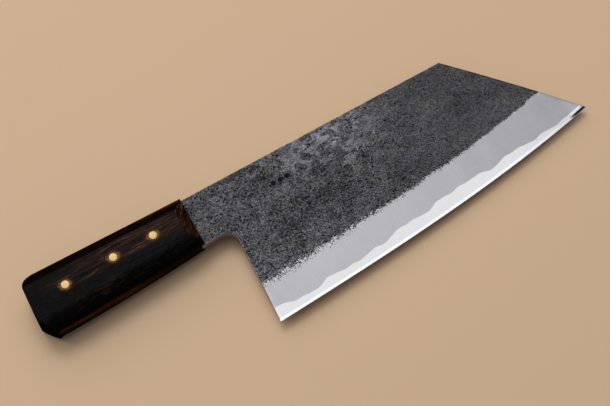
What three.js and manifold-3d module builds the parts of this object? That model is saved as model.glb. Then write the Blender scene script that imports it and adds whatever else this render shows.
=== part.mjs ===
// Forged kitchen cleaver: a laminated blade with a stepped hidden tang, held between two
// wooden scales by three brass through pins. Millimetres.
//
// The knife is drawn in its own plane: X runs along the straight spine from the front of the
// handle towards the tip, Y is 0 on the spine and negative towards the cutting edge, and Z is
// the thickness, 0 in the middle of the blade. The finished group lies on its side on z = 0,
// centred in X and Y.
import * as THREE from 'three';
import { mergeVertices } from 'three/addons/utils/BufferGeometryUtils.js';
import Module from 'manifold-3d';

const wasm = await Module();
wasm.setup();

// ---- driving dimensions ----------------------------------------------------------------

const CLEARANCE = 0.3; // glue gap around the tang and the pins

// Blade outline
const SPINE_END = [167.5, 0]; // where the spine meets the clipped point
const TIP = [223.4, -66];
const CLIP_BULGE = 0.5; // how far the clip bows out of straight
const HEEL = [11.7, -87.1];
const EDGE_HEEL_SLOPE = 0.045; // the edge is nearly straight at the heel and curves up to the tip
const EDGE_TIP_SLOPE = 0.2;
const CHOIL_CENTRE = [8.7, -35.6];
const CHOIL_RADIUS = 7;
const CHOIL_LEAD = 0.8; // the neck's underside ends this far before the choil's centre
const CHOIL_END_ANGLE = -0.08; // radians, where the choil runs into the straight heel
const NECK_BELLY = [-1.6, -29.2]; // where the neck's belly side leaves the handle

// Blade thickness, as half thicknesses about the middle plane
const NECK_HALF = 2.3;
const TIP_HALF = 1.2; // the flats taper evenly from the neck to the tip
const EDGE_HALF = 0.15;
const CORE_HALF = 0.5; // the hard core layer
const BEVEL_WIDTH_HEEL = 21.6; // the wide ground bevel, measured up from the edge
const BEVEL_WIDTH_TIP = 24.6;

// Tang: full width for a short shoulder inside the handle, then a tapering tongue
const SHOULDER_DEPTH = 3;
const SHOULDER_SLOPE = 5;
const TANG_TOP = [-4.6, -9.8]; // height of its upper side at the tongue's root and at its end
const TANG_BOTTOM = [-22.6, -18.4];
const TANG_END = -86;
const TANG_END_RADIUS = 3;

// Handle
const HANDLE_HALF = 10.5; // half of the handle's thickness
const WALL_HALF = 5.5; // half height of the straight side walls
const FRONT_TOP = [-0.4, 0.1];
const FRONT_BELLY = NECK_BELLY;
const BUTT_TOP = [-96.7, 2.1];
const BUTT_LOW = [-98.2, -23.5];
const BUTT_LEAN = 0.3; // how far the butt leans out by the foot of its rounded corner
const BELLY_BUTT = [-91.8, -33.6];
const BELLY_BOW = [-48, -33]; // control point of the gently bowed belly
const BUTT_CORNER = 8; // how far the rounded corner reaches along each side
const SPINE_CHAMFER = 7.4; // run of each chamfer across the face
const BELLY_CHAMFER = 7;
const BELLY_CHAMFER_DROP = 0.3; // the belly chamfer starts this far outside the butt's corner
const FRONT_RAMP = 6.5;

// Pins
const PIN_RADIUS = 2.5;
const PINS = {
  pin_butt: [-76.5, -14.4],
  pin_middle: [-47.7, -13.7],
  pin_front: [-23.6, -13.5],
};
const PIN_SIDES = 32;

const ARC_STEPS = 12; // straight pieces in each curve of an outline
const BLADE_STATIONS = 30; // cross-sections along the blade
const MERGE_DISTANCE = 1e-4; // vertices closer than this are one vertex
const STOCK_MARGIN = 4; // how far the ground stock stands past the blade's outline
const CUTTER_MARGIN = 20; // how far a chamfer cutter runs past the ends of its edge

// ---- materials -------------------------------------------------------------------------

const forgedSteel = new THREE.MeshStandardMaterial({ color: 0x4b4c50, roughness: 0.6, metalness: 0.8 });
const coreSteel = new THREE.MeshStandardMaterial({ color: 0xd9dbdf, roughness: 0.25, metalness: 1 });
const darkWood = new THREE.MeshStandardMaterial({ color: 0x2a1f19, roughness: 0.55, metalness: 0 });
const brass = new THREE.MeshStandardMaterial({ color: 0xd8b873, roughness: 0.3, metalness: 1 });

// ---- solids ----------------------------------------------------------------------------

// A manifold solid from a closed three.js geometry
function solid(geometry) {
  const bare = geometry.clone();
  bare.deleteAttribute('normal');
  bare.deleteAttribute('uv');
  const merged = mergeVertices(bare, MERGE_DISTANCE);
  return new wasm.Manifold(new wasm.Mesh({
    numProp: 3,
    vertProperties: new Float32Array(merged.attributes.position.array),
    triVerts: new Uint32Array(merged.index.array),
  }));
}

// A named mesh from a manifold solid
function piece(name, shape, material) {
  const { vertProperties, triVerts } = shape.getMesh();
  const geometry = new THREE.BufferGeometry();
  geometry.setAttribute('position', new THREE.BufferAttribute(vertProperties, 3));
  geometry.setIndex(new THREE.BufferAttribute(triVerts, 1));
  geometry.computeVertexNormals();
  const mesh = new THREE.Mesh(geometry, material);
  mesh.name = name;
  return mesh;
}

// A flat outline given thickness from z = low to z = high
function plate(outline, low, high) {
  const geometry = new THREE.ExtrudeGeometry(outline, {
    depth: high - low, bevelEnabled: false, curveSegments: ARC_STEPS,
  });
  return solid(geometry.translate(0, 0, low));
}

// A closed solid through matching sections, each a list of [x, y, z] seen counter-clockwise
// from the far end
function loft(sections) {
  const size = sections[0].length;
  const last = (sections.length - 1) * size;
  const index = [];
  for (let s = 0; s < sections.length - 1; s += 1) {
    for (let i = 0; i < size; i += 1) {
      const a = s * size + i;
      const b = s * size + ((i + 1) % size);
      index.push(a, b, b + size, a, b + size, a + size);
    }
  }
  for (let i = 1; i < size - 1; i += 1) {
    index.push(0, i + 1, i);
    index.push(last, last + i, last + i + 1);
  }
  const geometry = new THREE.BufferGeometry();
  geometry.setAttribute('position', new THREE.Float32BufferAttribute(sections.flat(2), 3));
  geometry.setIndex(index);
  return solid(geometry);
}

// A straight wedge that cuts a chamfer along the edge from a to b. The cut starts on the wall
// at the wall's height and reaches the face after the given run. side is 1 or -1 in Z.
function chamferCutter(a, b, run, side) {
  const rise = HANDLE_HALF - WALL_HALF;
  const profile = new THREE.Shape();
  profile.moveTo(-run, side * (WALL_HALF - rise));
  profile.lineTo(2 * run, side * (HANDLE_HALF + rise));
  profile.lineTo(-run, side * (HANDLE_HALF + rise));
  profile.closePath();
  const from = new THREE.Vector3(...a, 0);
  const along = new THREE.Vector3(...b, 0).sub(from);
  const geometry = new THREE.ExtrudeGeometry(profile, {
    depth: along.length() + 2 * CUTTER_MARGIN, bevelEnabled: false,
  });
  geometry.translate(0, 0, -CUTTER_MARGIN);
  along.normalize();
  const up = new THREE.Vector3(0, 0, 1);
  const inward = new THREE.Vector3().crossVectors(up, along);
  geometry.applyMatrix4(new THREE.Matrix4().makeBasis(inward, up, along).setPosition(from));
  return solid(geometry);
}

// ---- outlines --------------------------------------------------------------------------

// Height of the cutting edge at a distance along the blade, a cubic from heel to tip
function edgeHeight(x) {
  const [heelX, heelY] = HEEL;
  const [tipX, tipY] = TIP;
  const length = tipX - heelX;
  const t = (x - heelX) / length;
  const heelPull = heelY + (EDGE_HEEL_SLOPE * length) / 3;
  const tipPull = tipY - (EDGE_TIP_SLOPE * length) / 3;
  const s = 1 - t;
  return s ** 3 * heelY + 3 * s * s * t * heelPull + 3 * s * t * t * tipPull + t ** 3 * tipY;
}

// Blade and tang in one outline, counter-clockwise from the handle's front on the spine side.
// grow widens the part inside the handle, for the pocket in the scales.
function bladeOutline(grow = 0) {
  const [tipX, tipY] = TIP;
  const [neckX, neckY] = NECK_BELLY;
  const [choilX, choilY] = CHOIL_CENTRE;
  const shape = new THREE.Shape();

  const shoulder = -SHOULDER_DEPTH - grow;
  const tongue = shoulder - SHOULDER_SLOPE;
  const end = TANG_END - grow;
  const round = TANG_END_RADIUS;
  shape.moveTo(0, grow);
  shape.lineTo(shoulder, grow);
  shape.lineTo(tongue, TANG_TOP[0] + grow);
  shape.lineTo(end + round, TANG_TOP[1] + grow);
  shape.quadraticCurveTo(end, TANG_TOP[1] + grow, end, TANG_TOP[1] + grow - round);
  shape.lineTo(end, TANG_BOTTOM[1] - grow + round);
  shape.quadraticCurveTo(end, TANG_BOTTOM[1] - grow, end + round, TANG_BOTTOM[1] - grow);
  shape.lineTo(tongue, TANG_BOTTOM[0] - grow);
  shape.lineTo(shoulder, neckY - grow);
  shape.lineTo(neckX, neckY - grow);

  shape.lineTo(choilX - CHOIL_LEAD, choilY + CHOIL_RADIUS);
  shape.absarc(choilX, choilY, CHOIL_RADIUS, Math.PI / 2, CHOIL_END_ANGLE, true);
  shape.lineTo(...HEEL);
  for (let i = 1; i <= ARC_STEPS; i += 1) {
    const x = THREE.MathUtils.lerp(HEEL[0], tipX, i / ARC_STEPS);
    shape.lineTo(x, edgeHeight(x));
  }
  const clip = new THREE.Vector2(SPINE_END[0] - tipX, SPINE_END[1] - tipY);
  const bow = new THREE.Vector2(clip.y, -clip.x).setLength(2 * CLIP_BULGE);
  shape.quadraticCurveTo(tipX + clip.x / 2 + bow.x, tipY + clip.y / 2 + bow.y, ...SPINE_END);
  shape.closePath();
  return shape;
}

// Side outline of the handle
function handleOutline() {
  const [buttX, buttY] = BUTT_TOP;
  const shape = new THREE.Shape();
  shape.moveTo(...FRONT_TOP);
  shape.lineTo(buttX + BUTT_CORNER, buttY);
  shape.quadraticCurveTo(buttX, buttY, buttX - BUTT_LEAN, buttY - BUTT_CORNER);
  shape.lineTo(...BUTT_LOW);
  shape.lineTo(...BELLY_BUTT);
  shape.quadraticCurveTo(...BELLY_BOW, ...FRONT_BELLY);
  shape.closePath();
  return shape;
}

// ---- blade layers ----------------------------------------------------------------------

// Half thickness of the flats at a distance along the blade
const flatHalf = (x) => THREE.MathUtils.lerp(NECK_HALF, TIP_HALF, Math.max(0, x) / TIP[0]);

// The ground stock that the blade's outline is cut from: parallel flats at the tang, tapering
// flats along the blade, and the wide bevel running down to the edge
function groundStock() {
  const first = HEEL[0] - STOCK_MARGIN;
  const last = TIP[0] + STOCK_MARGIN;
  const sections = [[TANG_END - STOCK_MARGIN, 0], [0, 0]];
  for (let i = 0; i <= BLADE_STATIONS; i += 1) {
    const share = i / BLADE_STATIONS;
    sections.push([THREE.MathUtils.lerp(first, last, share), share]);
  }
  return loft(sections.map(([x, share]) => {
    const edge = edgeHeight(Math.max(x, first));
    const line = edge + THREE.MathUtils.lerp(BEVEL_WIDTH_HEEL, BEVEL_WIDTH_TIP, share);
    const flat = flatHalf(x);
    const above = STOCK_MARGIN;
    const below = edge - STOCK_MARGIN;
    return [
      [x, above, -flat], [x, above, flat], [x, line, flat], [x, edge, EDGE_HALF],
      [x, below, EDGE_HALF], [x, below, -EDGE_HALF], [x, edge, -EDGE_HALF], [x, line, -flat],
    ];
  }));
}

// One layer of the laminated blade, between two heights, with its holes for the pins
function bladeLayer(stock, low, high) {
  let layer = plate(bladeOutline(), low, high).intersect(stock);
  for (const place of Object.values(PINS)) {
    layer = layer.subtract(cylinder(place, PIN_RADIUS + CLEARANCE, 2 * HANDLE_HALF));
  }
  return layer;
}

// ---- handle ----------------------------------------------------------------------------

// An upright cylinder centred on the blade's middle plane
function cylinder([x, y], radius, height) {
  const geometry = new THREE.CylinderGeometry(radius, radius, height, PIN_SIDES);
  return solid(geometry.rotateX(Math.PI / 2).translate(x, y, 0));
}

// One wooden scale, with its chamfers, its half of the tang's pocket and its pin holes
function handleScale(side) {
  const range = (a, b) => (side > 0 ? [a, b] : [-b, -a]);
  let scale = plate(handleOutline(), ...range(0, HANDLE_HALF));
  const bellyStart = [BELLY_BUTT[0], BELLY_BUTT[1] - BELLY_CHAMFER_DROP];
  scale = scale.subtract(chamferCutter(FRONT_TOP, BUTT_TOP, SPINE_CHAMFER, side));
  scale = scale.subtract(chamferCutter(bellyStart, FRONT_BELLY, BELLY_CHAMFER, side));
  scale = scale.subtract(chamferCutter(FRONT_BELLY, FRONT_TOP, FRONT_RAMP, side));
  scale = scale.subtract(plate(bladeOutline(CLEARANCE), ...range(-CLEARANCE, NECK_HALF + CLEARANCE)));
  for (const place of Object.values(PINS)) {
    scale = scale.subtract(cylinder(place, PIN_RADIUS + CLEARANCE, 3 * HANDLE_HALF));
  }
  return scale;
}

// ---- assembly --------------------------------------------------------------------------

const cleaver = new THREE.Group();
const stock = groundStock();
cleaver.add(
  piece('blade_core', bladeLayer(stock, -CORE_HALF, CORE_HALF), coreSteel),
  piece('blade_cladding_front', bladeLayer(stock, CORE_HALF, NECK_HALF + STOCK_MARGIN), forgedSteel),
  piece('blade_cladding_back', bladeLayer(stock, -NECK_HALF - STOCK_MARGIN, -CORE_HALF), forgedSteel),
  piece('handle_scale_front', handleScale(1), darkWood),
  piece('handle_scale_back', handleScale(-1), darkWood),
);
for (const [name, place] of Object.entries(PINS)) {
  cleaver.add(piece(name, cylinder(place, PIN_RADIUS, 2 * HANDLE_HALF), brass));
}

// Lay the knife on z = 0, centred
const box = new THREE.Box3().setFromObject(cleaver);
const middle = box.getCenter(new THREE.Vector3());
cleaver.position.set(-middle.x, -middle.y, -box.min.z);

export default cleaver;
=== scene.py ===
"""Visual model of the forged kitchen cleaver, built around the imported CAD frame.

The knife is drawn in its own plane in millimetres, as in the CAD: X runs along the spine from
the front of the handle, Y is 0 on the spine and negative towards the edge, and Z is 0 in the
middle of the blade. knife() turns such a point into the frame's metres.
"""

import math
import random

import bmesh
import bpy
import numpy as np
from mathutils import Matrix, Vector, noise
from mathutils.geometry import delaunay_2d_cdt


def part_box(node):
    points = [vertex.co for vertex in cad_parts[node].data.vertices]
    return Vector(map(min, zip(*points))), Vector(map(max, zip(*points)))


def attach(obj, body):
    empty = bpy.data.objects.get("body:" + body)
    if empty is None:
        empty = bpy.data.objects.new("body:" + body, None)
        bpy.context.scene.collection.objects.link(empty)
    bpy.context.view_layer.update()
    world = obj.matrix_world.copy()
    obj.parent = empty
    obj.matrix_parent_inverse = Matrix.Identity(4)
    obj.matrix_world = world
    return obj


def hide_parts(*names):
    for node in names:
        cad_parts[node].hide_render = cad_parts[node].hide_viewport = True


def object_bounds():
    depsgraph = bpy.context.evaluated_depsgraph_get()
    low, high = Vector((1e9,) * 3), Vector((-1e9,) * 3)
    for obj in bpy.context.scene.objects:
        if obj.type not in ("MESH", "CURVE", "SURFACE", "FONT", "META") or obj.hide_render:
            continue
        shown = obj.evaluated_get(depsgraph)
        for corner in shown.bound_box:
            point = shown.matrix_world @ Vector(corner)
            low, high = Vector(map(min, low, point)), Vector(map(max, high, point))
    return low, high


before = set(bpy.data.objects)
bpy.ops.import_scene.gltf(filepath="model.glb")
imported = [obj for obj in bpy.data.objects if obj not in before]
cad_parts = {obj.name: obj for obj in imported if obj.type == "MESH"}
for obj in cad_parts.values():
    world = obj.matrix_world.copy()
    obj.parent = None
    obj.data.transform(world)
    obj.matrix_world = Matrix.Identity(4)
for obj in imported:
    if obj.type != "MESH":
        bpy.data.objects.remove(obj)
cad_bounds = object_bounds()

MM = 0.001  # metres
GAMMA = 2.2  # turns a tone as the screen shows it into the shader's linear value
DIFFUSE = 0.82  # share of their linear value that forge scale and wood get, under strong lights
random.seed(7)

# ---- dimensions, in millimetres ----------------------------------------------------------

SPINE_END = (167.5, 0.0)  # where the spine meets the clipped point
TIP = (223.4, -66.0)
CLIP_BULGE = 0.5  # how far the clip bows out of straight
CLIP_FOOT = (206.1, -44.9)  # where the clip runs into the bevel
HEEL = (11.7, -87.1)
EDGE_HEEL_SLOPE = 0.045  # the edge is nearly straight at the heel and curves up to the tip
EDGE_TIP_SLOPE = 0.2
EDGE_START = HEEL[0] - 2  # before this there is no edge below the blade
FAR_ABOVE = 60.0  # the height above the edge that neck and tang are given
CHOIL_CENTRE = (8.7, -35.6)
CHOIL_RADIUS = 7.0
CHOIL_END_ANGLE = -0.08  # radians, where the choil runs into the straight heel
NECK_BELLY = (-1.6, -29.2)  # where the neck's belly side leaves the handle

# Half thicknesses of the blade about its middle plane, and widths above the edge
NECK_HALF = 2.3
TIP_HALF = 1.2
EDGE_HALF = 0.04
MICRO_WIDTH = 1.5  # the honed bevel at the very edge
MICRO_HALF = 0.22  # half thickness where it starts
TIP_MICRO_HALF = 0.5  # the same at the tip, which is honed steeper
MICRO_STEEPENS = (213, 220)  # where along the blade it steepens to that
BEVEL_WIDTH_HEEL = 21.6
BEVEL_WIDTH_TIP = 24.6
CORE_LINE = 5.3  # mean height of the wavy line where the core comes to the surface
# The waves of that line: height, length and phase of each
CORE_WAVES = ((0.50, 3.9, 1.9), (0.55, 6.7, 0.4), (0.38, 2.35, 0.8), (0.14, 1.3, 5.0))
BLADE_ROUNDING = 0.3
FORGED_DENTS = 0.07  # how deep the hammered flats wander
DENT_SIZE = 14

# The tang: its shoulder, and the height of either side at the tongue's root and end
SHOULDER_DEPTH = 3.0
SHOULDER_SLOPE = 5.0
TANG_TOP = (-4.6, -9.8)
TANG_BOTTOM = (-22.6, -18.4)
TANG_END = -86.0
TANG_END_RADIUS = 3.0
CLEARANCE = 0.3  # between tang and pocket

HANDLE_HALF = 10.5
WALL_HALF = 5.5  # half height of the straight side walls
FRONT_TOP = (-0.4, 0.1)
FRONT_BELLY = NECK_BELLY
BUTT_TOP = (-96.7, 2.1)
BUTT_LOW = (-98.2, -23.5)
BUTT_LEAN = 0.3  # how far the butt leans out by the foot of its rounded corner
BELLY_BUTT = (-91.8, -33.6)
BELLY_BOW = (-48.0, -33.0)  # control point of the gently bowed belly
BUTT_CORNER = 8.0  # how far the rounded corner reaches along each side
SPINE_CHAMFER = 7.4  # run of each chamfer across the face
BELLY_CHAMFER = 7.0
FRONT_RAMP = 6.5
HANDLE_ROUNDING = 0.7
KNIFE_MARKS = 0.12  # how deep the hand-cut faces wander

PIN_RADIUS = 2.5
HOLE_GAP = 0.12  # between pin and hole
COLLAR = 0.4  # width of the slightly sunk ring round each pin
PIN_PLACES = {"pin_butt": (-76.5, -14.4), "pin_middle": (-47.7, -13.7), "pin_front": (-23.6, -13.5)}

# A row of plain punch marks near the spine, on the front only
STAMP_PLACES = [(48.6, -16.8), (53.0, -16.8), (57.4, -16.8)]
STAMP_RADIUS = 1.6
STAMP_DEPTH = 0.3

# Edges of the meshes sharper than these angles stay crisp
CRISP_ANGLE = math.radians(28)
PIN_CRISP_ANGLE = math.radians(40)

# The longest step along each outline, and the spacing of the mesh inside it
BLADE_STEP, BLADE_SPACING = 1.6, 1.7
HANDLE_STEP, HANDLE_SPACING = 1.2, 1.3

# The knife's own origin in the frame: the front of the handle, the spine and the middle plane
handle_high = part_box("handle_scale_front")[1]
blade_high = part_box("blade_core")[1]
ORIGIN = Vector((
    handle_high[0] / MM - FRONT_TOP[0],
    blade_high[1] / MM,
    (cad_bounds[0][2] + cad_bounds[1][2]) / 2 / MM,
))


def knife(x, y, z=0.0):
    """A point given in the knife's millimetres, in the frame's metres."""
    return (ORIGIN + Vector((x, y, z))) * MM


def add_object(name, data):
    """A new object in the scene."""
    added = bpy.data.objects.new(name, data)
    bpy.context.collection.objects.link(added)
    return added


def smooth(mesh, crisp_angle):
    """Smooth shading, except across edges that turn by more than an angle."""
    mesh.shade_smooth()
    mesh.set_sharp_from_angle(angle=crisp_angle)


# ---- outlines ------------------------------------------------------------------------------


def bezier(points, steps):
    """Points along a Bezier curve of any degree, without the first."""
    result = []
    for i in range(1, steps + 1):
        row = [Vector(p) for p in points]
        while len(row) > 1:
            row = [a.lerp(b, i / steps) for a, b in zip(row, row[1:])]
        result.append(tuple(row[0]))
    return result


def arc(centre, radius, start, end, steps):
    """Points along an arc, both ends included."""
    angles = [start + (end - start) * i / steps for i in range(steps + 1)]
    return [(centre[0] + radius * math.cos(a), centre[1] + radius * math.sin(a)) for a in angles]


def even_steps(a, b, spacing):
    """Points from a to b, both included, with no step longer than spacing."""
    steps = max(1, math.ceil(math.dist(a, b) / spacing))
    return [tuple(Vector(a).lerp(Vector(b), i / steps)) for i in range(steps + 1)]


def refine(loop, spacing):
    """The same closed loop with no step longer than spacing."""
    result = []
    for a, b in zip(loop, loop[1:] + loop[:1]):
        result += even_steps(a, b, spacing)[:-1]
    return result


def edge_height(x):
    """Height of the cutting edge at a distance along the blade."""
    length = TIP[0] - HEEL[0]
    t = (x - HEEL[0]) / length
    s = 1 - t
    heel_pull = HEEL[1] + EDGE_HEEL_SLOPE * length / 3
    tip_pull = TIP[1] - EDGE_TIP_SLOPE * length / 3
    return s**3 * HEEL[1] + 3 * s * s * t * heel_pull + 3 * s * t * t * tip_pull + t**3 * TIP[1]


def tang_loop(grow):
    """The tang with its shoulder, from the neck's spine side to its belly side."""
    shoulder = -SHOULDER_DEPTH - grow
    tongue = shoulder - SHOULDER_SLOPE
    end = TANG_END - grow
    top = (TANG_TOP[0] + grow, TANG_TOP[1] + grow)
    bottom = (TANG_BOTTOM[0] - grow, TANG_BOTTOM[1] - grow)
    rounding = TANG_END_RADIUS
    loop = [(shoulder, grow), (tongue, top[0]), (end + rounding, top[1])]
    loop += bezier([(end + rounding, top[1]), (end, top[1]), (end, top[1] - rounding)], 6)
    loop.append((end, bottom[1] + rounding))
    loop += bezier([(end, bottom[1] + rounding), (end, bottom[1]), (end + rounding, bottom[1])], 6)
    loop += [(tongue, bottom[0]), (shoulder, NECK_BELLY[1] - grow)]
    return loop


def blade_loop():
    """Blade and tang, counter-clockwise from the handle's front on the spine side."""
    loop = [(0.0, 0.0)] + tang_loop(0.0) + [NECK_BELLY]
    loop += arc(CHOIL_CENTRE, CHOIL_RADIUS, math.pi / 2, CHOIL_END_ANGLE, 20)
    loop.append(HEEL)
    steps = 160
    for i in range(1, steps):
        x = HEEL[0] + (TIP[0] - HEEL[0]) * i / steps
        loop.append((x, edge_height(x)))
    clip = Vector(SPINE_END) - Vector(TIP)
    bow = Vector((clip.y, -clip.x)).normalized() * 2 * CLIP_BULGE
    loop += [TIP] + bezier([TIP, tuple(Vector(TIP) + clip / 2 + bow), SPINE_END], 40)
    return loop


def handle_loop():
    """Side outline of the handle, counter-clockwise from the front on the spine side."""
    x, y = BUTT_TOP
    loop = [FRONT_TOP, (x + BUTT_CORNER, y)]
    loop += bezier([(x + BUTT_CORNER, y), (x, y), (x - BUTT_LEAN, y - BUTT_CORNER)], 12)
    loop += [BUTT_LOW, BELLY_BUTT]
    loop += bezier([BELLY_BUTT, BELLY_BOW, FRONT_BELLY], 40)
    return loop


# ---- flat triangulation and solids -----------------------------------------------------------


def distance_to_line(points, line, closed=False):
    """Distance of each point from a polyline."""
    points = np.asarray(points)
    best = np.full(len(points), np.inf)
    ends = line[1:] + line[:1] if closed else line[1:]
    for a, b in zip(line, ends):
        a, b = np.array(a), np.array(b)
        along = b - a
        length = along @ along
        if length == 0:
            continue
        t = np.clip((points - a) @ along / length, 0, 1)
        best = np.minimum(best, np.hypot(*(points - a - t[:, None] * along).T))
    return best


def inside(points, loop):
    """Whether each point lies inside a closed loop."""
    x, y = np.asarray(points).T
    result = np.zeros(len(x), bool)
    for (ax, ay), (bx, by) in zip(loop, loop[1:] + loop[:1]):
        if ay == by:
            continue
        crosses = (ay > y) != (by > y)
        result ^= crosses & (x < ax + (y - ay) * (bx - ax) / (by - ay))
    return result


def inset(loop, amount):
    """A closed counter-clockwise loop moved inwards, with mitred corners."""
    result = []
    count = len(loop)
    for i in range(count):
        a, b, c = (Vector(loop[j % count]) for j in (i - 1, i, i + 1))
        before, after = (b - a).normalized(), (c - b).normalized()
        normal = Vector((-before.y - after.y, before.x + after.x)).normalized()
        stretch = max(0.4, normal.dot(Vector((-after.y, after.x))))
        result.append(tuple(b + normal * amount / stretch))
    return result


def triangulate(outline, spacing, loops=(), lines=(), keep_off=0.45):
    """A triangulation of the inside of outline that follows the given loops and open lines,
    with jittered points between them. Returns points and triangles."""
    points, edges = [], []

    def chain(route, closed):
        first = len(points)
        points.extend(route)
        edges.extend((i, i + 1) for i in range(first, len(points) - 1))
        if closed:
            edges.append((len(points) - 1, first))

    chain(outline, True)
    for loop in loops:
        chain(loop, True)
    for line in lines:
        chain(line, False)
    xs, ys = [p[0] for p in outline], [p[1] for p in outline]
    seeds = []
    row_height = spacing * math.sqrt(3) / 2
    for row in range(int((max(ys) - min(ys)) / row_height) + 1):
        for column in range(int((max(xs) - min(xs)) / spacing) + 1):
            x = min(xs) + (column + 0.5 * (row % 2) + random.uniform(-0.2, 0.2)) * spacing
            y = min(ys) + (row + random.uniform(-0.2, 0.2)) * row_height
            seeds.append((x, y))
    near = distance_to_line(seeds, outline, True)
    for loop in loops:
        near = np.minimum(near, distance_to_line(seeds, loop, True))
    for line in lines:
        near = np.minimum(near, distance_to_line(seeds, line))
    kept = inside(seeds, outline) & (near > keep_off * spacing)
    points.extend(s for s, k in zip(seeds, kept) if k)
    found = delaunay_2d_cdt([Vector(p) for p in points], edges, [], 1, 1e-5)
    flat = np.array([tuple(v) for v in found[0]])
    triangles = [t for t in found[2] if len(t) == 3]
    centres = np.array([flat[list(t)].mean(axis=0) for t in triangles])
    within = inside(centres, outline)
    triangles = [t for t, w in zip(triangles, within) if w]
    result = []
    for a, b, c in triangles:
        area = np.cross(flat[b] - flat[a], flat[c] - flat[a])
        result.append((a, b, c) if area > 0 else (a, c, b))
    return flat, result


def solid(name, flat, triangles, regions, top, bottom):
    """A closed mesh over a triangulation. regions gives each triangle's region, or None where
    nothing is built, and top and bottom map a region to the heights of all points."""
    vertices, index, faces, walls = [], {}, [], []

    def vertex(point, height):
        key = (point, round(height, 5))
        if key not in index:
            index[key] = len(vertices)
            vertices.append(knife(flat[point][0], flat[point][1], height))
        return index[key]

    def face(corners, is_wall):
        distinct = [c for i, c in enumerate(corners) if c != corners[i - 1]]
        if len(set(distinct)) >= 3:
            faces.append(distinct)
            walls.append(is_wall)

    def rise(point, region):
        """The vertices up a wall's corner, with those of a neighbouring region between them."""
        low, high = bottom[region][point], top[region][point]
        between = sorted(h for h in levels[point] if low + 1e-4 < h < high - 1e-4)
        return [vertex(point, height) for height in (low, *between, high)]

    sides, levels = {}, {}  # the region on each edge's left, and the heights at each point
    for triangle, region in zip(triangles, regions):
        if region is None:
            continue
        upper = [vertex(p, top[region][p]) for p in triangle]
        lower = [vertex(p, bottom[region][p]) for p in triangle]
        face(upper, False)
        face(lower[::-1], False)
        for a, b in zip(triangle, triangle[1:] + triangle[:1]):
            sides[(a, b)] = region
            levels.setdefault(a, set()).update((top[region][a], bottom[region][a]))
    for (a, b), region in sides.items():
        other = sides.get((b, a))
        if other is None:
            face(rise(b, region) + rise(a, region)[::-1], True)
        elif other != region and a < b:
            for heights, flip in ((top, False), (bottom, True)):
                wall = [vertex(a, heights[other][a]), vertex(b, heights[other][b]),
                        vertex(b, heights[region][b]), vertex(a, heights[region][a])]
                face(wall[::-1] if flip else wall, True)
    mesh = bpy.data.meshes.new(name)
    mesh.from_pydata([tuple(v) for v in vertices], [], faces)
    mesh.polygons.foreach_set("material_index", [1 if w else 0 for w in walls])
    mesh.validate()
    smooth(mesh, CRISP_ANGLE)
    return add_object(name, mesh)


# ---- blade -------------------------------------------------------------------------------


def bevel_width(x):
    """Width of the ground bevel above the cutting edge."""
    share = np.clip((x - HEEL[0]) / (TIP[0] - HEEL[0]), 0, 1)
    return BEVEL_WIDTH_HEEL + (BEVEL_WIDTH_TIP - BEVEL_WIDTH_HEEL) * share


def core_width(x):
    """Height of the wavy line above the edge, where the hard core comes to the surface."""
    wave = sum(height * np.sin(x / length + phase) for height, length, phase in CORE_WAVES)
    heel_rise = 2.6 * np.exp(-(((x - HEEL[0]) / 9) ** 2))
    swell = 3.0 * np.exp(-(((x - 125) / 42) ** 2))
    fall_at_tip = 2.6
    tip_fall = fall_at_tip * np.clip((x - 170) / 48, 0, 1)
    calmer = 1 - 0.4 * tip_fall / fall_at_tip
    return CORE_LINE + heel_rise + swell + wave * calmer - tip_fall


def flat_half(x):
    """Half thickness of the blade's flats, which taper evenly to the tip."""
    return NECK_HALF + (TIP_HALF - NECK_HALF) * np.clip(x / TIP[0], 0, 1)


def ground_half(x, above):
    """Half thickness of the blade at a distance along it and a height above its edge."""
    line = bevel_width(x)
    flat = flat_half(x)
    first, last = MICRO_STEEPENS
    steeper = np.clip((x - first) / (last - first), 0, 1)
    start = MICRO_HALF + (TIP_MICRO_HALF - MICRO_HALF) * steeper
    wide = start + (flat - start) * (above - MICRO_WIDTH) / (line - MICRO_WIDTH)
    honed = EDGE_HALF + (start - EDGE_HALF) * above / MICRO_WIDTH
    return np.minimum(flat, np.where(above < MICRO_WIDTH, honed, wide))


def above_edge(x, y):
    """Height of points above the cutting edge."""
    return np.where(x < EDGE_START, FAR_ABOVE, y - edge_height(np.maximum(x, EDGE_START)))


def pin_circles(radius, sides):
    """A circle round the place of each pin."""
    return [arc(place, radius, 0, 2 * math.pi, sides)[:-1] for place in PIN_PLACES.values()]


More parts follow.
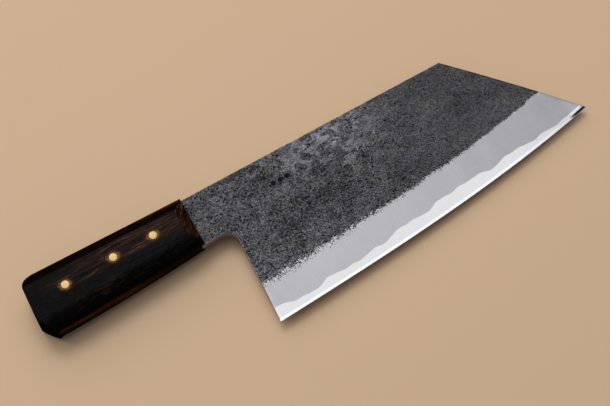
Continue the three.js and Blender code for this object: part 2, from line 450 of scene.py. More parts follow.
def make_blade():
    """The hard core and its two cladding layers, which meet along the wavy line."""
    outline = refine(blade_loop(), BLADE_STEP)
    rim = BLADE_ROUNDING
    xs = np.linspace(EDGE_START, TIP[0] + 2, 260)

    def line_above(width):
        return [(x, edge_height(x) + w) for x, w in zip(xs, width)]

    wavy = line_above(core_width(xs))
    honed = line_above(np.full(len(xs), MICRO_WIDTH))
    shoulder = line_above(bevel_width(xs))
    holes = pin_circles(PIN_RADIUS + HOLE_GAP, 32)
    rings = [inset(outline, rim * share) for share in (0.12, 0.45, 1.0)]
    punches = [arc(place, STAMP_RADIUS * share, 0, 2 * math.pi, 24)[:-1]
               for place in STAMP_PLACES for share in (1.0, 0.8, 0.4)]
    loops, lines = rings + holes + punches, [wavy, honed, shoulder]
    flat, triangles = triangulate(outline, BLADE_SPACING, loops, lines)

    # Half thicknesses of the whole blade and of the core, which is bare below the wavy line
    x, y = flat.T
    above = above_edge(x, y)
    outer = ground_half(x, np.maximum(above, 0))
    exposed = above <= core_width(x) + 1e-3
    buried = ground_half(x, core_width(x))
    buried = np.where(x < EDGE_START, buried[np.argmin(abs(x - HEEL[0]))], buried)
    dents = np.array([noise.noise(Vector((p[0] / DENT_SIZE, p[1] / DENT_SIZE, 0.3))) for p in flat])
    on_flat = np.clip((above - bevel_width(x)) / 3, 0, 1) * (x > 0)
    outer = outer - FORGED_DENTS * on_flat * (0.5 + dents)

    # Triangles where the core lies bare, and those inside the pin holes
    centres = flat[np.array(triangles)].mean(axis=1)
    bare = above_edge(*centres.T) < core_width(centres[:, 0])
    hole = np.zeros(len(triangles), bool)
    for loop in holes:
        hole |= inside(centres, loop)

    # The rounded rim of the blade, without the edge and the tang, and the punch marks
    cut = np.clip(rim - distance_to_line(flat, outline, True), 0, rim)
    cut = np.where((above > 0.2) & (x > -1), cut, 0)
    room = np.where(exposed, outer, outer - buried)
    skin = outer - np.minimum(rim - np.sqrt(rim**2 - cut**2), 0.6 * room)
    core_top = np.where(exposed, skin, buried)
    struck = skin - STAMP_DEPTH * np.clip(1.6 * stamp_share(x, y), 0, 1)

    whole = [None if h else "steel" for h in hole]
    upper = [None if h or b else "steel" for h, b in zip(hole, bare)]
    pieces = [
        solid("hard_core", flat, triangles, whole, {"steel": core_top}, {"steel": -core_top}),
        solid("cladding_front", flat, triangles, upper, {"steel": struck}, {"steel": core_top}),
        solid("cladding_back", flat, triangles, upper, {"steel": -core_top}, {"steel": -skin}),
    ]
    for piece in pieces:
        add_blade_heights(piece, outline)
    return pieces


def stamp_share(x, y):
    """1 in the middle of a punch mark and 0 from its rim outwards."""
    nearest = np.min([np.hypot(x - sx, y - sy) for sx, sy in STAMP_PLACES], axis=0)
    return np.clip(1 - nearest / STAMP_RADIUS, 0, 1)


def add_blade_heights(piece, outline):
    """Stores on each vertex how far it lies from the edge, the bevel's lines and the rim."""
    mesh = piece.data
    places = np.array([tuple(v.co / MM - ORIGIN) for v in mesh.vertices])
    x, y = places[:, 0], places[:, 1]
    above = above_edge(x, y)
    rim = distance_to_line(places[:, :2], outline, True)
    for name, values in (("above_edge", above), ("above_shoulder", above - bevel_width(x)),
                         ("from_rim", rim), ("stamp", stamp_share(x, y) * (places[:, 2] > 0))):
        layer = mesh.attributes.new(name, "FLOAT", "POINT")
        layer.data.foreach_set("value", values.astype(np.float32))
    sharp = mesh.attributes["sharp_edge"].data
    for line in (above - core_width(x), above - MICRO_WIDTH):
        on_line = abs(line) < 0.02
        for edge in mesh.edges:
            if all(on_line[v] for v in edge.vertices):
                sharp[edge.index].value = True


# ---- handle --------------------------------------------------------------------------------


def soft_min(a, b, width):
    """The lower of two heights, with the crossing rounded over a width."""
    blend = np.clip(0.5 + 0.5 * (b - a) / width, 0, 1)
    return b + (a - b) * blend - width * blend * (1 - blend)


def make_scale(name, side):
    """One wooden scale, chamfered and rounded, with its pocket for the tang and pin holes."""
    loop = handle_loop()
    outline = refine(loop, HANDLE_STEP)
    rounding = HANDLE_ROUNDING
    rings = [inset(outline, d) for d in (0.06, 0.2, 0.42, rounding)]
    holes = pin_circles(PIN_RADIUS + HOLE_GAP, 40)
    collars = pin_circles(PIN_RADIUS + COLLAR, 40)
    pocket = [(2.0, CLEARANCE)] + tang_loop(CLEARANCE) + [(2.0, NECK_BELLY[1] - CLEARANCE)]
    ramp_line = [tuple(Vector(FRONT_TOP) + Vector((-FRONT_RAMP, -SPINE_CHAMFER))),
                 tuple(Vector(FRONT_BELLY) + Vector((-FRONT_RAMP, BELLY_CHAMFER)))]
    creases = []
    for off in (-0.45, 0.0, 0.45):
        spine_crease = [(FRONT_TOP[0] - FRONT_RAMP - 0.9, FRONT_TOP[1] - SPINE_CHAMFER + off),
                        (BUTT_TOP[0] + 1.2, BUTT_TOP[1] - SPINE_CHAMFER + off)]
        creases.append(even_steps(*spine_crease, HANDLE_SPACING))
    loops, lines = rings + holes + collars, [pocket, ramp_line] + creases
    flat, triangles = triangulate(outline, HANDLE_SPACING, loops, lines)

    # The outer face: flat, with chamfers, a rounded rim, hand-cut waves and collars at the pins
    x, y = flat.T
    slope = HANDLE_HALF - WALL_HALF
    from_spine = distance_to_line(flat, [FRONT_TOP, BUTT_TOP])
    from_belly = distance_to_line(flat, bezier([BELLY_BUTT, BELLY_BOW, FRONT_BELLY], 40))
    from_front = distance_to_line(flat, [FRONT_BELLY, FRONT_TOP])
    from_outline = distance_to_line(flat, loop, True)
    top = np.full(len(flat), HANDLE_HALF)
    top = soft_min(top, WALL_HALF + from_spine * slope / SPINE_CHAMFER, 0.35)
    top = soft_min(top, WALL_HALF + from_belly * slope / BELLY_CHAMFER, 1.4)
    top = soft_min(top, WALL_HALF + from_front * slope / FRONT_RAMP, 0.3)
    near = np.clip(rounding - from_outline, 0, rounding)
    top = top - (rounding - np.sqrt(rounding**2 - near**2))
    hand_cut = np.array([noise.noise(Vector((p[0] / 22, p[1] / 9, side))) for p in flat])
    top = top - KNIFE_MARKS * np.clip(from_outline / 3, 0, 1) * np.maximum(0.5 + hand_cut, 0)
    for place in PIN_PLACES.values():
        from_pin = np.hypot(x - place[0], y - place[1])
        edge = np.clip(PIN_RADIUS + COLLAR - from_pin, 0, COLLAR - HOLE_GAP)
        top = top - 0.35 * edge

    # The inner face: flat at the middle plane, and sunk for the tang
    centres = flat[np.array(triangles)].mean(axis=1)
    regions = np.where(inside(centres, pocket), "pocket", "wood").astype(object)
    for hole_loop in holes:
        regions[inside(centres, hole_loop)] = None
    inner = {"wood": np.zeros(len(flat)), "pocket": np.full(len(flat), NECK_HALF + CLEARANCE)}
    outer = {"wood": top, "pocket": top}
    if side > 0:
        return solid(name, flat, triangles, regions, outer, inner)
    lower = {key: -values for key, values in outer.items()}
    upper = {key: -values for key, values in inner.items()}
    return solid(name, flat, triangles, regions, upper, lower)


# ---- pins ----------------------------------------------------------------------------------


def make_pin(name, place):
    """A brass rod with softly rounded, filed ends."""
    half = HANDLE_HALF - 0.02  # just below the wood's face
    profile = [(0.0, half), (1.2, half - 0.01), (2.1, half - 0.04), (2.34, half - 0.08),
               (2.46, half - 0.18), (PIN_RADIUS, half - 0.34)]
    profile += [(PIN_RADIUS, -z) for z in (-4.0, 4.0)] + [(r, -z) for r, z in reversed(profile)]
    sides = 64
    mesh = bpy.data.meshes.new(name)
    work = bmesh.new()
    rings = []
    for radius, z in profile:
        circle = arc(place, radius, 0, 2 * math.pi, sides)[:-1] if radius else [place]
        rings.append([work.verts.new(knife(*point, z)) for point in circle])
    for upper, lower in zip(rings, rings[1:]):
        for i in range(sides):
            j = (i + 1) % sides
            corners = [upper[i % len(upper)], lower[i % len(lower)], lower[j % len(lower)],
                       upper[j % len(upper)]]
            work.faces.new(list(dict.fromkeys(corners)))
    bmesh.ops.recalc_face_normals(work, faces=work.faces)
    work.to_mesh(mesh)
    work.free()
    smooth(mesh, PIN_CRISP_ANGLE)
    return add_object(name, mesh)


# ---- materials -----------------------------------------------------------------------------
#
# Positions and noise sizes are in the knife's millimetres. Tones run from 0 to 1 as the screen
# shows them, and linear() turns them into the shader's values. Wood's colours are linear.


class Graph:
    """One material's nodes. Sockets and plain values can both be passed as inputs."""

    def __init__(self, name):
        self.material = bpy.data.materials.new(name)
        self.material.use_nodes = True
        self.tree = self.material.node_tree
        self.shader = self.tree.nodes["Principled BSDF"]

    def node(self, kind, inputs, output=0, **settings):
        node = self.tree.nodes.new("ShaderNode" + kind)
        for name, value in settings.items():
            setattr(node, name, value)
        for key, value in inputs.items():
            if isinstance(value, bpy.types.NodeSocket):
                self.tree.links.new(value, node.inputs[key])
            else:
                node.inputs[key].default_value = value
        return node.outputs[output]

    def math(self, operation, a, b=0.0):
        return self.node("Math", {0: a, 1: b}, operation=operation)

    def add(self, *terms):
        total = terms[0]
        for term in terms[1:]:
            total = self.math("ADD", total, term)
        return total

    def times(self, *terms):
        total = terms[0]
        for term in terms[1:]:
            total = self.math("MULTIPLY", total, term)
        return total

    def around_zero(self, value):
        """A value between 0 and 1, moved to lie between -0.5 and 0.5."""
        return self.math("SUBTRACT", value, 0.5)

    def rest_of(self, value):
        """What is left of 1."""
        return self.math("SUBTRACT", 1.0, value)

    def linear(self, tone):
        """The shader's value for a tone."""
        return self.math("POWER", tone, GAMMA)

    def step(self, value, low, high):
        """0 below low, 1 above high and smooth between."""
        settings = {"Value": value, "From Min": low, "From Max": high}
        return self.node("MapRange", settings, interpolation_type="SMOOTHSTEP")

    def hump(self, value, middle, spread):
        """1 at the middle, falling smoothly to 0 one spread away on either side."""
        off = self.math("ABSOLUTE", self.math("SUBTRACT", value, middle))
        return self.node("MapRange", {"Value": off, "From Min": spread, "From Max": 0.0},
                         interpolation_type="SMOOTHSTEP")

    def vector(self, operation, a, b, output=0):
        return self.node("VectorMath", {0: a, 1: b}, output, operation=operation)

    def place(self):
        """The point in the knife's own millimetres."""
        point = self.node("TexCoord", {}, "Object")
        scaled = self.vector("MULTIPLY", point, (1 / MM, 1 / MM, 1 / MM))
        return self.vector("SUBTRACT", scaled, tuple(ORIGIN))

    def noise(self, place, size, detail=2.0, roughness=0.5, distortion=0.0, shift=0.0):
        """Noise between 0 and 1, with features of the given size, or size per axis, in mm."""
        sizes = size if isinstance(size, tuple) else (size, size, size)
        scaled = self.vector("MULTIPLY", place, tuple(1 / s for s in sizes))
        moved = self.vector("ADD", scaled, (shift, -shift, 0.7 * shift))
        return self.node("TexNoise", {"Vector": moved, "Scale": 1.0, "Detail": detail,
                                      "Roughness": roughness, "Distortion": distortion})

    def cells(self, place, size):
        """Distance from the nearest of scattered points, in cell sizes, and its random number."""
        scaled = self.vector("MULTIPLY", place, (1 / size, 1 / size, 1 / size))
        settings = {"Vector": scaled, "Scale": 1.0}
        distance = self.node("TexVoronoi", settings, "Distance")
        colour = self.node("TexVoronoi", settings, "Color")
        return distance, self.split(colour)[0]

    def mix(self, factor, a, b):
        """Colour a where the factor is 0 and colour b where it is 1."""
        node = self.tree.nodes.new("ShaderNodeMix")
        node.data_type = "RGBA"
        for key, value in (("Factor_Float", factor), ("A_Color", a), ("B_Color", b)):
            socket = next(s for s in node.inputs if s.identifier == key)
            if isinstance(value, bpy.types.NodeSocket):
                self.tree.links.new(value, socket)
            else:
                socket.default_value = value if key == "Factor_Float" else (*value, 1)
        return next(s for s in node.outputs if s.identifier == "Result_Color")

    def tinted(self, value, tint):
        """A colour: the tint, scaled by a value."""
        node = self.tree.nodes.new("ShaderNodeVectorMath")
        node.operation = "SCALE"
        node.inputs[0].default_value = tint
        self.tree.links.new(value, node.inputs["Scale"])
        return node.outputs[0]

    def split(self, vector):
        """The X, Y and Z of a vector."""
        node = self.tree.nodes.new("ShaderNodeSeparateXYZ")
        self.tree.links.new(vector, node.inputs[0])
        return node.outputs

    def join(self, x, y, z):
        return self.node("CombineXYZ", {0: x, 1: y, 2: z})

    def attribute(self, name):
        """A number that the mesh stores on its vertices."""
        return self.node("Attribute", {}, "Fac", attribute_name=name)

    def bump(self, height, depth):
        """Relief from a height between 0 and 1, with the given depth in millimetres."""
        return self.node("Bump", {"Height": height, "Distance": depth * MM, "Strength": 1.0})

    def finish(self, **inputs):
        """The material, with the shader's inputs set to plain values or linked."""
        for name, value in inputs.items():
            label = name.replace("_", " ").title().replace("Ior", "IOR")
            socket = self.shader.inputs[label]
            if isinstance(value, bpy.types.NodeSocket):
                self.tree.links.new(value, socket)
            elif isinstance(value, tuple):
                socket.default_value = (*value, 1)
            else:
                socket.default_value = value
        return self.material


# Broad patches where the forge scale is darker or lighter: middle and spread along the blade
# and across it, and the difference in tone
SCALE_PATCHES = (
    ((46, 24), (-6, 28), -0.030),
    ((64, 34), (-36, 24), -0.045),
    ((82, 24), (-10, 26), 0.030),
)
SCALE_TONE = 0.322


def kurouchi(g, place):
    """Forge scale: blue-black, pitted and flaky. Returns its colour, height and roughness."""
    # Even near the clip, and flakiest between the punch marks and there
    x, y, _ = g.split(place)
    toward_clip = g.step(x, 95, 160)
    toward_neck = g.step(x, 48, 8)
    calm = g.rest_of(g.times(toward_clip, 0.5))
    flaky = g.times(g.hump(x, 78, 60), g.hump(y, -8, 34))
    # Grit, plates that flaked off in layers, and islands with a pale crust round them
    fine = g.noise(place, 0.85, 1, 0.6)
    layers = g.noise(place, (17.0, 12.0, 12.0), 9, 0.64, 0.6, shift=4.0)
    plate = g.step(layers, 0.500, 0.506)
    islands = g.noise(place, (7.0, 5.0, 5.0), 4, 0.56, 1.1, shift=19.0)
    island = g.step(islands, 0.530, 0.540)
    hollow = g.step(islands, 0.425, 0.415)
    crust = g.hump(islands, 0.545, 0.026)
    # Slow clouds, dark specks that come in zones, pale glints of painted light, and pits
    clouds = g.noise(place, 24.0, 2, 0.5, shift=2.0)
    zones = g.step(g.noise(place, 9.0, 3, 0.6, shift=11.0), 0.40, 0.60)
    specks = g.step(g.noise(place, 1.15, 2, 0.7, shift=9.0), 0.56, 0.60)
    painted_glints = g.step(g.noise(place, 1.0, 1, 0.5, shift=31.0), 0.66, 0.70)
    dots, dot_kind = g.cells(place, 2.6)
    holes = g.times(g.step(dots, 0.27, 0.20), g.step(dot_kind, 0.42, 0.46))
    brightness = g.add(
        SCALE_TONE,
        g.times(g.around_zero(clouds), 0.16),
        g.times(g.around_zero(fine), calm,
                g.add(0.90, g.times(flaky, -0.25), g.times(island, flaky, -0.40))),
        g.times(plate, calm, g.add(0.050, g.times(flaky, 0.07))),
        g.times(island, calm, g.add(0.025, g.times(flaky, 0.16))),
        g.times(hollow, calm, -0.045),
        g.times(crust, g.add(0.02, g.times(flaky, 0.15))),
        g.times(specks, calm, g.add(-0.08, g.times(zones, -0.15), g.times(flaky, 0.06))),
        g.times(painted_glints, calm, 0.16),
        g.times(holes, calm, -0.26),
        g.times(toward_clip, 0.012),
        g.times(toward_neck, 0.036),
        *(g.times(g.hump(x, *along), g.hump(y, *across), tone)
          for along, across, tone in SCALE_PATCHES),
    )
    # A painted highlight along the spine's rim, darker along the clip's, and dark in the punch
    # marks
    rim = g.attribute("from_rim")
    painted_rim_highlight = g.times(g.step(rim, 0.55, 0.15), g.rest_of(g.step(x, 162, 166)))
    burnt = g.times(g.step(rim, 1.3, 0.3), g.step(x, 166, 170))
    stamped = g.step(g.attribute("stamp"), 0.0, 0.25)
    brightness = g.add(brightness, g.times(painted_rim_highlight, 0.2), g.times(burnt, -0.10),
                       g.times(stamped, -0.5))
    value = g.times(g.linear(g.math("MAXIMUM", brightness, 0.03)), DIFFUSE)
    warm = g.step(g.noise(place, 13.0, 4, 0.6, shift=23.0), 0.50, 0.68)
    bluish, brownish = (1.0, 0.98, 1.08), (1.04, 1.0, 0.95)
    colour = g.mix(warm, g.tinted(value, bluish), g.tinted(value, brownish))
    height = g.add(0.6, g.times(fine, 0.3), g.times(plate, 0.2), g.times(island, 0.2),
                   g.times(hollow, -0.2), g.times(specks, -0.35), g.times(holes, -0.6))
    rough = g.add(0.50, g.times(specks, 0.2), g.times(fine, 0.2))
    return colour, height, rough


def cladding_material():
    """Soft iron cladding: forge scale above a ragged line and a satin ground bevel below it."""
    g = Graph("forged_cladding")
    place = g.place()
    scale_colour, scale_height, scale_rough = kurouchi(g, place)
    x, _, _ = g.split(place)

    # The scale ends in a ragged line about the bevel's shoulder, most ragged near the heel
    above = g.attribute("above_shoulder")
    ragged = g.around_zero(g.noise(place, 1.0, 2, 0.9, shift=5.0))
    drift = g.around_zero(g.noise(place, 9.0, 2, 0.5, shift=12.0))
    reach = g.add(21.0, g.times(g.step(x, 20, 100), -11.0), g.times(g.step(x, 110, 180), -5.5))
    line = g.add(above, g.times(ragged, reach), g.times(drift, 3.0))
    scaled = g.step(line, -0.12, 0.12)

    streaks = g.noise(place, (0.9, 14.0, 14.0), 3, 0.6, shift=3.0)
    clouding = g.noise(place, (10.0, 16.0, 16.0), 2, 0.5, shift=8.0)
    sanded = g.noise(place, 1.0, 2, 0.6, shift=15.0)
    # The satin bevel's tone, a little darker towards the tip as painted shade
    satin = g.add(0.722, g.times(g.step(x, 120, 175), -0.015),
                  g.times(g.around_zero(streaks), 0.035),
                  g.times(g.around_zero(sanded), 0.03),
                  g.times(g.around_zero(clouding), 0.09))
    ground = g.tinted(g.linear(satin), (1.0, 0.99, 1.02))
    ground_rough = g.add(0.44, g.times(clouding, 0.10))

    colour = g.mix(scaled, ground, scale_colour)
    rough = g.add(g.times(g.rest_of(scaled), ground_rough), g.times(scaled, scale_rough))
    height = g.add(g.times(scaled, scale_height), g.times(streaks, 0.05))
    return g.finish(base_color=colour, roughness=rough, metallic=g.rest_of(scaled),
                    normal=g.bump(height, 0.12), specular_ior_level=0.15)


def core_material():
    """Hardened core steel, polished almost white."""
    g = Graph("core_steel")
    place = g.place()
    above = g.attribute("above_edge")
    streaks = g.noise(place, (0.8, 9.0, 9.0), 2, 0.5, shift=6.0)
    cloud = g.noise(place, (14.0, 8.0, 8.0), 2, 0.5, shift=2.0)
    x, _, _ = g.split(place)
    honed = g.step(above, MICRO_WIDTH + 0.2, MICRO_WIDTH - 0.2)
    # A painted dark reflection on the honed edge over its last millimetres at the tip
    painted_tip_reflection = g.times(g.step(x, 211, 215), honed, g.step(above, 0.15, 0.3))
    # Painted light: a little lighter towards the tip as a painted reflection, and the honed edge,
    # which is polished, also brightened as a painted highlight
    tone = g.add(0.81, g.times(g.step(x, 90, 190), 0.05), g.times(honed, 0.12),
                 g.times(painted_tip_reflection, -0.66), g.times(g.around_zero(streaks), 0.03),
                 g.times(g.around_zero(cloud), 0.04))
    colour = g.tinted(g.linear(tone), (1.0, 0.992, 1.0))
    rough = g.add(0.24, g.times(cloud, 0.08), g.times(honed, -0.08))
    return g.finish(base_color=colour, roughness=rough, metallic=1.0)


def spine_material():
    """The ground walls of spine, choil and heel, draw-filed along the blade."""
    g = Graph("filed_steel")
    place = g.place()
    x, y, _ = g.split(place)
    streaks = g.noise(place, (12.0, 12.0, 0.35), 3, 0.6)
    dark = g.times(g.step(x, 163, 168), g.step(y, -47, -45))
    bright = g.add(0.56, g.times(g.around_zero(streaks), 0.2), g.times(dark, -0.52))
    colour = g.tinted(g.linear(bright), (1.0, 0.99, 0.99))
    rough = g.add(0.28, g.times(streaks, 0.15), g.times(dark, 0.2))
    return g.finish(base_color=colour, roughness=rough, metallic=1.0,
                    normal=g.bump(streaks, 0.02))


# Wood from the darkest char to bare wood, in linear colour, with painted shade for the belly crease
# and the spine chamfer
# Painted shade: the black line along the belly's crease
CREASE_SHADE = (0.003, 0.002, 0.0018)
BUTT_CHAR = (0.0045, 0.0026, 0.0020)
# Char darkened by painted shade, for the spine chamfer
SHADED_CHAMFER_CHAR = (0.0060, 0.0028, 0.0020)
END_CHAR = (0.010, 0.0045, 0.0025)
WALL_CHAR = (0.014, 0.0062, 0.0030)
SPOT_BROWN = (0.060, 0.024, 0.014)
STREAK_BROWN = (0.060, 0.022, 0.006)
END_BROWN = (0.066, 0.026, 0.010)
GRAIN_BROWN = (0.070, 0.031, 0.020)
WALL_AMBER = (0.105, 0.042, 0.008)
PIN_BROWN = (0.11, 0.046, 0.016)
END_AMBER = (0.21, 0.085, 0.018)
THREAD_BROWN = (0.26, 0.125, 0.066)
PIN_AMBER = (0.30, 0.13, 0.035)


def wood_material():
    """Scorched hardwood: charcoal faces, brown grain that shows through, amber at the edges."""
    g = Graph("dark_wood")
    place = g.place()
    x, y, z = g.split(place)
    depth = g.math("ABSOLUTE", z)
    warp = g.noise(place, (34.0, 10.0, 12.0), 2, 0.5, shift=3.0)
    bent = g.vector("ADD", place, g.join(0.0, g.times(warp, 6.0), g.times(warp, 4.0)))
    grain = g.noise(bent, (14.0, 0.62, 0.9), 4, 0.7)
    bands = g.noise(bent, (55.0, 3.0, 3.4), 3, 0.6, shift=7.0)
    fibres = g.noise(place, (4.0, 0.4, 0.4), 3, 0.75, shift=2.0)

    face = g.step(depth, 9.2, 10.0)
    wall = g.step(depth, 6.2, 5.3)
    upper = g.step(y, -9, -6)
    pores = g.noise(place, (2.6, 0.9, 0.9), 2, 0.6, shift=17.0)
    char = g.add(-0.075, g.times(fibres, 0.17), g.times(pores, 0.14),
                 g.times(g.hump(x, -12, 60), g.hump(y, -20, 16), 0.035))
    colour = g.tinted(g.linear(char), (1.0, 0.98, 0.97))

    # Brown grain shows along the row of pins, and in spots near the belly
    showing = g.step(g.add(g.times(grain, 0.62), g.times(bands, 0.38)), 0.40, 0.58)
    threads = g.step(grain, 0.56, 0.65)
    pinned = g.times(g.hump(g.add(y, g.times(bands, 6.0)), -8.5, 9.0), g.hump(x, -38, 60))
    colour = g.mix(g.times(showing, pinned, face), colour, GRAIN_BROWN)
    colour = g.mix(g.times(threads, pinned, face, 0.9), colour, THREAD_BROWN)
    spots = g.step(g.noise(place, (7.0, 2.2, 3.0), 3, 0.6, 0.3, shift=13.0), 0.46, 0.70)
    low = g.times(g.hump(y, -27, 6), g.hump(x, -62, 34))
    colour = g.mix(g.times(spots, low, g.step(grain, 0.40, 0.62)), colour, SPOT_BROWN)

    # Spine chamfer in painted shade, side walls with their amber streak, belly crease in painted
    # shade, and butt
    # The spine chamfer is painted darker than the face: char with painted shade over it
    chamfer = g.times(g.rest_of(face), upper)
    colour = g.mix(g.times(chamfer, 0.92), colour, SHADED_CHAMFER_CHAR)
    streak = g.times(g.step(bands, 0.46, 0.58), g.hump(depth, 6.6, 1.6), upper)
    colour = g.mix(g.times(streak, showing, g.step(x, -60, -35)), colour, STREAK_BROWN)
    colour = g.mix(wall, colour, WALL_CHAR)
    wavering = g.add(z, g.times(g.around_zero(bands), 14.0))
    amber = g.times(wall, g.hump(wavering, 1.0, 5.0), g.step(grain, 0.36, 0.56))
    colour = g.mix(g.times(amber, g.add(0.12, g.times(g.step(x, -20, -55), 0.88))), colour,
                   WALL_AMBER)
    # A black line of painted shade along the belly's crease
    crease = g.times(g.hump(depth, 6.0, 1.9), g.step(y, -20, -25))
    colour = g.mix(g.times(crease, 0.9), colour, CREASE_SHADE)
    butt = g.times(g.step(x, -89, -93), g.rest_of(face))
    colour = g.mix(butt, colour, BUTT_CHAR)

    # A warm ring round each pin, frayed along the grain
    round_pin = 99.0
    for spot in PIN_PLACES.values():
        offset = g.vector("SUBTRACT", place, (*spot, 0))
        oval = g.vector("MULTIPLY", offset, (0.80, 1.0, 0.0))
        near = g.vector("LENGTH", oval, (0, 0, 0), "Value")
        round_pin = g.math("MINIMUM", round_pin, near)
    strands = g.times(g.math("SUBTRACT", g.add(grain, fibres), 1.0), 5.0)
    warmth = g.step(g.add(round_pin, strands), 4.0, 2.6)
    colour = g.mix(g.times(warmth, 0.5, face), colour, PIN_BROWN)
    ring = g.step(g.add(round_pin, g.times(strands, 0.5)), 3.0, 2.5)
    colour = g.mix(g.times(ring, face), colour, PIN_AMBER)

    # The ramp at the handle's front shows end grain
    leaning = g.vector("ADD", place, g.join(g.times(y, -0.5), 0.0, 0.0))
    end_grain = g.noise(leaning, (1.1, 8.0, 2.6), 3, 0.65, 0.5, shift=21.0)
    run = g.math("SUBTRACT", FRONT_TOP[0], x)
    below_spine = g.math("SUBTRACT", FRONT_TOP[1], y)
    above_belly = g.math("SUBTRACT", y, FRONT_BELLY[1])
    off_spine = g.math("SUBTRACT", below_spine, g.times(run, SPINE_CHAMFER / FRONT_RAMP))
    off_belly = g.math("SUBTRACT", above_belly, g.times(run, BELLY_CHAMFER / FRONT_RAMP))
    ramp_start = FRONT_TOP[0] - FRONT_RAMP
    ramp = g.times(g.step(x, ramp_start - 0.9, ramp_start - 0.3), g.step(off_spine, -0.5, 0.3),
                   g.step(off_belly, -0.2, 0.6), g.step(depth, 10.4, 10.1), g.rest_of(wall))
    end_colour = g.mix(g.step(end_grain, 0.42, 0.62), END_CHAR, END_BROWN)
    end_colour = g.mix(g.times(g.step(y, -11, -4), g.step(end_grain, 0.5, 0.6)), end_colour,
                       END_AMBER)
    colour = g.mix(ramp, colour, end_colour)

    height = g.add(g.times(grain, 0.6), g.times(fibres, 0.4))
    colour = g.vector("MULTIPLY", colour, (DIFFUSE, DIFFUSE, DIFFUSE))
    return g.finish(base_color=colour, roughness=g.add(0.42, g.times(fibres, 0.25)),
                    normal=g.bump(height, 0.16), ior=1.3,
                    specular_ior_level=g.times(face, 0.10))


def brass_material():
    """Brass pins, filed flush with the wood."""
    g = Graph("brass")
    place = g.place()
    marks = g.noise(place, (1.6, 0.14, 3.0), 3, 0.6, shift=4.0)
    tarnish = g.noise(place, 1.6, 3, 0.6, shift=9.0)
    tone = g.add(0.63, g.times(g.around_zero(marks), 0.16), g.times(g.around_zero(tarnish), 0.2))
    colour = g.tinted(g.linear(tone), (0.86, 0.62, 0.27))
    return g.finish(base_color=colour, roughness=g.add(0.26, g.times(tarnish, 0.2)), metallic=1.0,
                    normal=g.bump(marks, 0.03))


def floor_material():
    """Plain floor in about the colour of a pale wooden board."""
    g = Graph("floor")
    return g.finish(base_color=(0.80, 0.56, 0.358), roughness=0.8, specular_ior_level=0.2)


# ---- object --------------------------------------------------------------------------------

core, cladding_front, cladding_back = make_blade()
scale_front = make_scale("wood_front", 1)
scale_back = make_scale("wood_back", -1)

core_steel = core_material()
forged_cladding = cladding_material()
filed_steel = spine_material()
dark_wood = wood_material()
brass = brass_material()

for piece, node, slot, face_material, wall_material in (
    (core, "blade_core", "core_steel", core_steel, filed_steel),
    (cladding_front, "blade_cladding_front", "forged_cladding", forged_cladding, filed_steel),
    (cladding_back, "blade_cladding_back", "forged_cladding", forged_cladding, filed_steel),
    (scale_front, "handle_scale_front", "dark_wood", dark_wood, dark_wood),
    (scale_back, "handle_scale_back", "dark_wood", dark_wood, dark_wood),
):
    piece.data.materials.append(face_material)
    piece.data.materials.append(wall_material)
    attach(piece, "root")
    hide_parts(node)
for node, place in PIN_PLACES.items():
    pin = make_pin(node + "_rod", place)
    pin.data.materials.append(brass)
    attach(pin, "root")
    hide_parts(node)

# ---- stage, light and camera -----------------------------------------------------------------

# The floor's plane goes through the front corner of the handle, and runs a little way below the
# tip and the foot of the clip. That gap gives the soft shadow along the edge.
SHADOW_GAP = 4.8
FLOOR_POINTS = [
    (FRONT_BELLY[0] - FRONT_RAMP, FRONT_BELLY[1] + BELLY_CHAMFER, -HANDLE_HALF),
    (*TIP, -EDGE_HALF - SHADOW_GAP),
    (*CLIP_FOOT, -flat_half(CLIP_FOOT[0]) - SHADOW_GAP),
]

AIM_SHIFT = (-4.9, 7.3)  # from the middle of the knife's box to where the camera aims
CAMERA_AZIMUTH, CAMERA_ELEVATION = math.radians(-31.04), math.radians(66)
CAMERA_DISTANCE = 0.7855
CAMERA_LENS = 85

# Each light's place and size in metres, and its power in watts
LIGHTS = {
    "window": ((-0.2, 1.05, 1.65), (2.6, 3.0), 28),
    "key": ((0.0, 1.05, 1.85), (0.8, 0.8), 8),
}
SKY_COLOUR, SKY_STRENGTH = (0.9, 0.92, 1, 1), 0.20


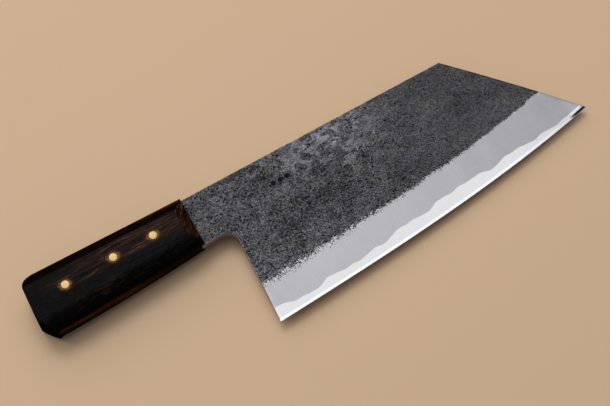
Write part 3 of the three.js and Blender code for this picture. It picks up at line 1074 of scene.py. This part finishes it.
def make_floor():
    """A plain plane, tilted slightly as FLOOR_POINTS says."""
    a, b, c = (knife(*p) for p in FLOOR_POINTS)
    normal = (b - a).cross(c - a).normalized()
    if normal.z < 0:
        normal.negate()
    mesh = bpy.data.meshes.new("floor")
    reach = 3.0
    corners = [(-reach, -reach), (reach, -reach), (reach, reach), (-reach, reach)]
    across = Vector((1, 0, 0)).cross(normal).normalized()
    along = across.cross(normal)
    mesh.from_pydata([tuple(a + along * u + across * v) for u, v in corners], [], [(0, 1, 2, 3)])
    floor = add_object("floor", mesh)
    floor.data.materials.append(floor_material())


def make_camera():
    """The camera looks down at 66 degrees, from the edge side."""
    aim = Vector(((cad_bounds[0][0] + cad_bounds[1][0]) / 2 + AIM_SHIFT[0] * MM,
                  (cad_bounds[0][1] + cad_bounds[1][1]) / 2 + AIM_SHIFT[1] * MM, ORIGIN.z * MM))
    flat_way = Vector((math.sin(CAMERA_AZIMUTH), -math.cos(CAMERA_AZIMUTH), 0))
    rise = Vector((0, 0, math.sin(CAMERA_ELEVATION)))
    place = aim + (flat_way * math.cos(CAMERA_ELEVATION) + rise) * CAMERA_DISTANCE
    camera = add_object("camera", bpy.data.cameras.new("camera"))
    camera.data.lens = CAMERA_LENS
    camera.location = place
    camera.rotation_euler = (aim - place).to_track_quat("-Z", "Y").to_euler()
    camera.data.clip_start = 0.01
    bpy.context.scene.camera = camera


def soft_light(name, place, size, power):
    """A rectangular area light that faces the knife."""
    data = bpy.data.lights.new(name, "AREA")
    data.shape = "RECTANGLE"
    data.size, data.size_y = size
    data.energy = power
    lamp = add_object(name, data)
    lamp.location = place
    lamp.rotation_euler = (-Vector(place)).to_track_quat("-Z", "Y").to_euler()


make_floor()
make_camera()
for name, settings in LIGHTS.items():
    soft_light(name, *settings)
world = bpy.data.worlds.new("studio")
world.use_nodes = True
sky = world.node_tree.nodes["Background"].inputs
sky["Color"].default_value = SKY_COLOUR
sky["Strength"].default_value = SKY_STRENGTH
bpy.context.scene.world = world
bpy.context.scene.view_settings.view_transform = "Standard"
